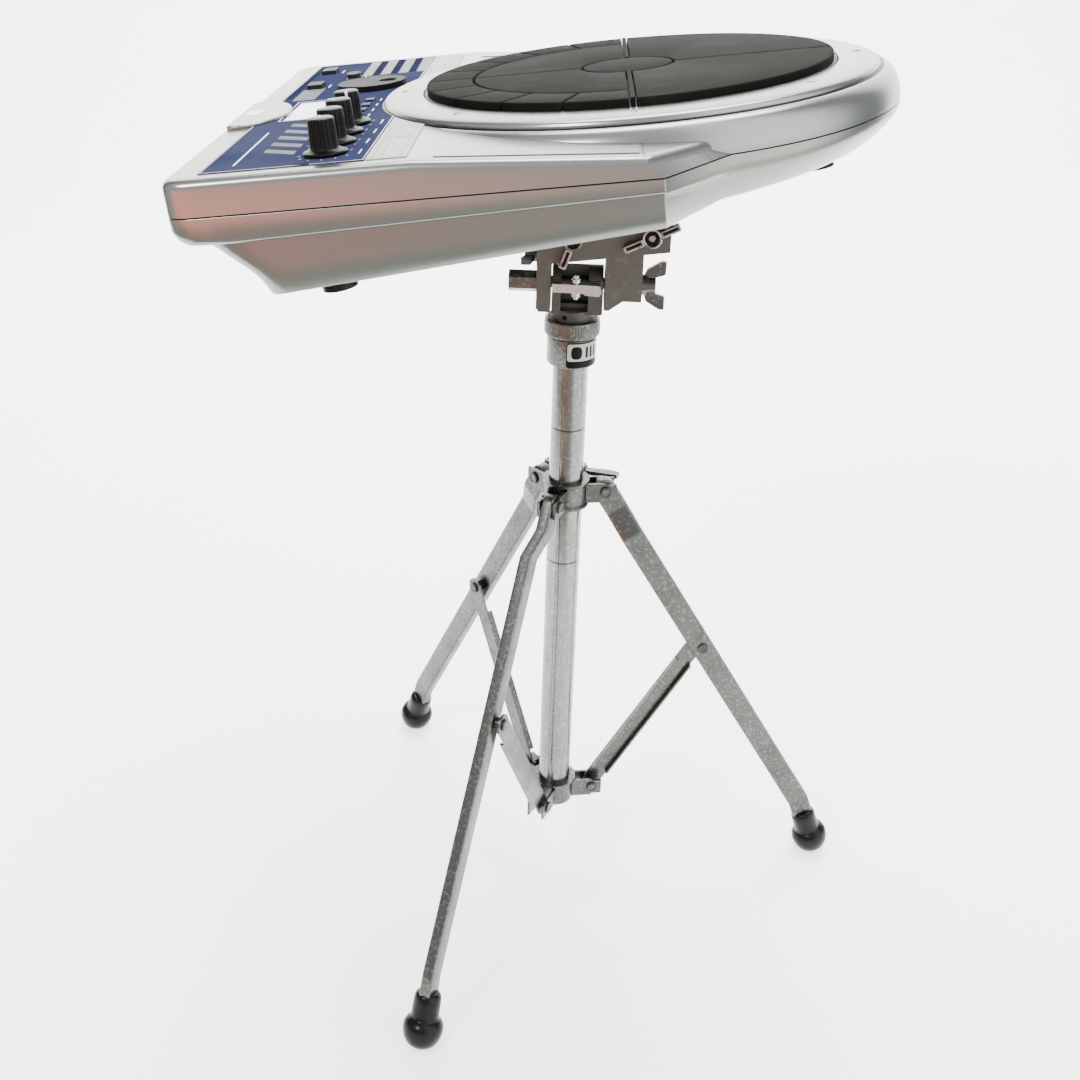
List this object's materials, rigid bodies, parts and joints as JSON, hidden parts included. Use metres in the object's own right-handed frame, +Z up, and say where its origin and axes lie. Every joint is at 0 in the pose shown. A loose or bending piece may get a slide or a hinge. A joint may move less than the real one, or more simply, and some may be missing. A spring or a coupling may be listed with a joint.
{
  "type": "practice pad",
  "caption": "Electronic hand-percussion practice pad: round zoned rubber pad in a wedge-shaped silver case with a control panel, on a folding tripod stand with a tilting head.",
  "frame": {"origin": "on the floor under the axis of the main tube", "axes": "+X towards the player, along the base of the pad unit; +Y across the unit; +Z up along the main tube"},
  "size_m": [0.4518, 0.4202, 0.6615],
  "materials": {
    "tube": "bright plated tube, worn",
    "zinc_steel": "zinc-plated pressed steel with white oxide",
    "cast_head": "dark olive-grey casting",
    "dark_chrome": "dark bright plating",
    "plate_paint": "satin black",
    "black_plastic": "satin black",
    "foot_rubber": "smooth black rubber",
    "case_silver": "silver metallic paint",
    "board": "green board",
    "panel_blue": "blue-grey print",
    "panel_silver": "pale silver print",
    "dark_gloss": "black gloss",
    "window": "clear window",
    "pad_rubber": "dark grey-green rubber",
    "inner_plastic": "black",
    "key_grey": "grey key cap",
    "key_blue": "dark blue key cap",
    "jack_metal": "nickel-plated"
  },
  "bodies": {
    "stand": {"main_tube": "tube", "tube_bush": "black_plastic", "sleeve": "zinc_steel", "lower_collar": "zinc_steel"},
    "rod": {"height_rod": "tube", "rod_guide": "black_plastic"},
    "clutch": {"clutch_ring": "zinc_steel"},
    "head": {"head_base": "cast_head", "brake_bar": "zinc_steel"},
    "collar": {"upper_collar": "zinc_steel"},
    "collar_screw": {"collar_wing": "zinc_steel"},
    "unit": {"saddle": "cast_head", "tilt_bolt": "zinc_steel", "mount_plate": "plate_paint", "plate_screws": "zinc_steel", "upper_case": "case_silver", "lower_case": "case_silver", "circuit_board": "board", "panel_board": "board", "case_feet": "foot_rubber", "case_screws": "zinc_steel", "panel_overlay": "panel_blue", "panel_band": "panel_silver", "display_window": "window", "sensor_pod": "case_silver", "pod_window": "window", "touch_strips": "case_silver", "pad_bezel": "case_silver", "sensor_plate": "inner_plastic", "pad_base": "inner_plastic", "pad_center": "pad_rubber", "pad_inner": "pad_rubber", "pad_ring": "pad_rubber", "pad_quarters": "pad_rubber", "divider_strips": "pad_rubber", "rear_jacks": "jack_metal"},
    "tilt_nut": {"tilt_nut": "zinc_steel"},
    "side_screw": {"side_wing": "zinc_steel"},
    "front_screw_1": {"front_wing_1": "dark_chrome"},
    "front_screw_2": {"front_wing_2": "dark_chrome"},
    "dial": {"jog_dial": "dark_gloss"},
    "keys": {"key_strip": "key_blue"},
    "power": {"power_button": "dark_gloss"},
    "leg_1": {"leg_1": "zinc_steel", "foot_1": "foot_rubber"},
    "strut_1": {"strut_1": "zinc_steel"},
    "button_1": {"button_1": "key_grey"},
    "leg_2": {"leg_2": "zinc_steel", "foot_2": "foot_rubber"},
    "strut_2": {"strut_2": "zinc_steel"},
    "button_2": {"button_2": "key_grey"},
    "leg_3": {"leg_3": "zinc_steel", "foot_3": "foot_rubber"},
    "strut_3": {"strut_3": "zinc_steel"},
    "button_3": {"button_3": "key_grey"},
    "knob_1": {"knob_1": "black_plastic"},
    "knob_2": {"knob_2": "black_plastic"},
    "knob_3": {"knob_3": "black_plastic"},
    "knob_4": {"knob_4": "black_plastic"}
  },
  "joints": [
    {"name": "rod_slide", "type": "slide", "parent": "stand", "child": "rod", "axis": [0, 0, 1], "range_m": [0, 0.18]},
    {"name": "clutch_turn", "type": "hinge", "parent": "stand", "child": "clutch", "pos_m": [0, 0, 0.473], "axis": [0, 0, 1], "range_deg": [-90, 90]},
    {"name": "head_turn", "type": "hinge", "parent": "rod", "child": "head", "pos_m": [0, 0, 0.485], "axis": [0, 0, 1], "continuous": true},
    {"name": "unit_tilt", "type": "hinge", "parent": "head", "child": "unit", "pos_m": [0, 0, 0.503], "axis": [1, 0, 0], "range_deg": [-35, 35]},
    {"name": "tilt_nut_turn", "type": "hinge", "parent": "unit", "child": "tilt_nut", "pos_m": [0.052, 0, 0.503], "axis": [1, 0, 0], "continuous": true},
    {"name": "side_screw_turn", "type": "hinge", "parent": "unit", "child": "side_screw", "pos_m": [-0.028, -0.00525, 0.52281], "axis": [-1, 0, 0], "continuous": true},
    {"name": "front_screw_1_turn", "type": "hinge", "parent": "unit", "child": "front_screw_1", "pos_m": [-0.0017, -0.02366, 0.53892], "axis": [0, -0.9993, 0.0379], "continuous": true},
    {"name": "front_screw_2_turn", "type": "hinge", "parent": "unit", "child": "front_screw_2", "pos_m": [0.0494, -0.02352, 0.54242], "axis": [0, -0.9993, 0.0379], "continuous": true},
    {"name": "collar_slide", "type": "slide", "parent": "stand", "child": "collar", "axis": [0, 0, 1], "range_m": [0, 0.02]},
    {"name": "collar_screw_turn", "type": "hinge", "parent": "collar", "child": "collar_screw", "pos_m": [0.00904, 0.02331, 0.3505], "axis": [0.3616, 0.9323, 0], "continuous": true},
    {"name": "leg_1_fold", "type": "hinge", "parent": "collar", "child": "leg_1", "pos_m": [0.02816, 0.00436, 0.3465], "axis": [-0.153, 0.9882, 0], "range_deg": [0, 7.68]},
    {"name": "strut_1_fold", "type": "hinge", "parent": "stand", "child": "strut_1", "pos_m": [0.02965, 0.00459, 0.0775], "axis": [-0.153, 0.9882, 0], "range_deg": [-7.85, 0]},
    {"name": "leg_2_fold", "type": "hinge", "parent": "collar", "child": "leg_2", "pos_m": [-0.01786, 0.02221, 0.3465], "axis": [-0.7793, -0.6266, 0], "range_deg": [0, 7.68]},
    {"name": "strut_2_fold", "type": "hinge", "parent": "stand", "child": "strut_2", "pos_m": [-0.0188, 0.02338, 0.0775], "axis": [-0.7793, -0.6266, 0], "range_deg": [-7.85, 0]},
    {"name": "leg_3_fold", "type": "hinge", "parent": "collar", "child": "leg_3", "pos_m": [-0.01031, -0.02657, 0.3465], "axis": [0.9323, -0.3616, 0], "range_deg": [0, 7.68]},
    {"name": "strut_3_fold", "type": "hinge", "parent": "stand", "child": "strut_3", "pos_m": [-0.01085, -0.02797, 0.0775], "axis": [0.9323, -0.3616, 0], "range_deg": [-7.85, 0]},
    {"name": "knob_1_turn", "type": "hinge", "parent": "unit", "child": "knob_1", "pos_m": [-0.13561, -0.16663, 0.63214], "axis": [-0.1198, 0.0376, 0.9921], "range_deg": [-150, 150]},
    {"name": "knob_2_turn", "type": "hinge", "parent": "unit", "child": "knob_2", "pos_m": [-0.13561, -0.13765, 0.63104], "axis": [-0.1198, 0.0376, 0.9921], "range_deg": [-150, 150]},
    {"name": "knob_3_turn", "type": "hinge", "parent": "unit", "child": "knob_3", "pos_m": [-0.13561, -0.10867, 0.62994], "axis": [-0.1198, 0.0376, 0.9921], "range_deg": [-150, 150]},
    {"name": "knob_4_turn", "type": "hinge", "parent": "unit", "child": "knob_4", "pos_m": [-0.13561, -0.07969, 0.62884], "axis": [-0.1198, 0.0376, 0.9921], "range_deg": [-150, 150]},
    {"name": "dial_turn", "type": "hinge", "parent": "unit", "child": "dial", "pos_m": [-0.14256, 0.06217, 0.62263], "axis": [-0.1198, 0.0376, 0.9921], "continuous": true},
    {"name": "button_1_press", "type": "slide", "parent": "unit", "child": "button_1", "axis": [0.1198, -0.0376, -0.9921], "range_m": [0, 0.0012], "stiffness_N_per_m": 900, "springref_m": -0.0008},
    {"name": "button_2_press", "type": "slide", "parent": "unit", "child": "button_2", "axis": [0.1198, -0.0376, -0.9921], "range_m": [0, 0.0012], "stiffness_N_per_m": 900, "springref_m": -0.0008},
    {"name": "button_3_press", "type": "slide", "parent": "unit", "child": "button_3", "axis": [0.1198, -0.0376, -0.9921], "range_m": [0, 0.0012], "stiffness_N_per_m": 900, "springref_m": -0.0008},
    {"name": "keys_press", "type": "slide", "parent": "unit", "child": "keys", "axis": [0.1198, -0.0376, -0.9921], "range_m": [0, 0.001], "stiffness_N_per_m": 1200, "springref_m": -0.0008},
    {"name": "power_press", "type": "slide", "parent": "unit", "child": "power", "axis": [0.9928, 0.0045, 0.1197], "range_m": [0, 0.002], "stiffness_N_per_m": 900, "springref_m": -0.001}
  ],
  "couplings": [
    {"joint": "leg_1_fold", "follows": "collar_slide", "rad_per_m": 6.6958},
    {"joint": "strut_1_fold", "follows": "collar_slide", "rad_per_m": -6.841},
    {"joint": "leg_2_fold", "follows": "collar_slide", "rad_per_m": 6.6958},
    {"joint": "strut_2_fold", "follows": "collar_slide", "rad_per_m": -6.841},
    {"joint": "leg_3_fold", "follows": "collar_slide", "rad_per_m": 6.6958},
    {"joint": "strut_3_fold", "follows": "collar_slide", "rad_per_m": -6.841}
  ]
}
